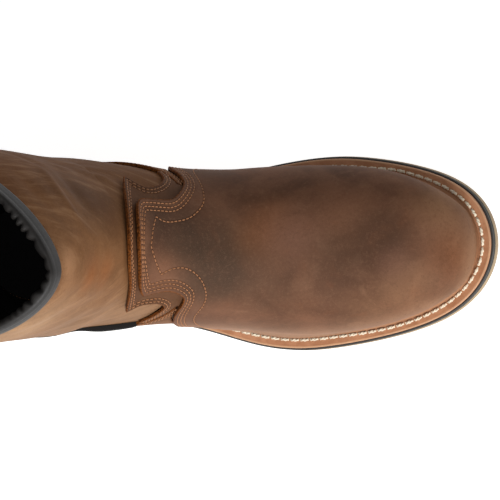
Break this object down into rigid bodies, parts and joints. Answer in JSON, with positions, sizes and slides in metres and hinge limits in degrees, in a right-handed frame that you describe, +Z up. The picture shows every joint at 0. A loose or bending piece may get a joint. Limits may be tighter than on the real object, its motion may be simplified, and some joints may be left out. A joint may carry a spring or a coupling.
{
  "type": "wellington work boot",
  "caption": "Pull-on leather work boot for the right foot with a plain rounded toe, scrolled vamp top, padded collar, stitched welt and lugged sole with a heel.",
  "frame": {"origin": "middle of the standing boot's box, on the floor under its sole", "axes": "+X from heel to toe, +Y to the medial side, +Z up"},
  "size_m": [0.3044, 0.1082, 0.2494],
  "materials": {
    "outsole": "matt tan",
    "midsole": "matt dark grey",
    "welt": "smooth tan",
    "insole": "matt dark",
    "upper": "oiled, lightly scuffed",
    "saddle": "oiled, lightly scuffed",
    "quarter": "oiled, lightly scuffed",
    "vamp": "oiled, mottled",
    "side_strip_medial": "matt black",
    "side_strip_lateral": "matt black",
    "collar": "soft padded dark grey"
  },
  "bodies": {
    "root": {"outsole": "outsole", "midsole": "midsole", "welt": "welt", "insole": "insole", "upper": "upper", "saddle": "saddle", "quarter": "quarter", "vamp": "vamp", "side_strip_medial": "side_strip_medial", "side_strip_lateral": "side_strip_lateral", "collar": "collar"}
  },
  "joints": []
}
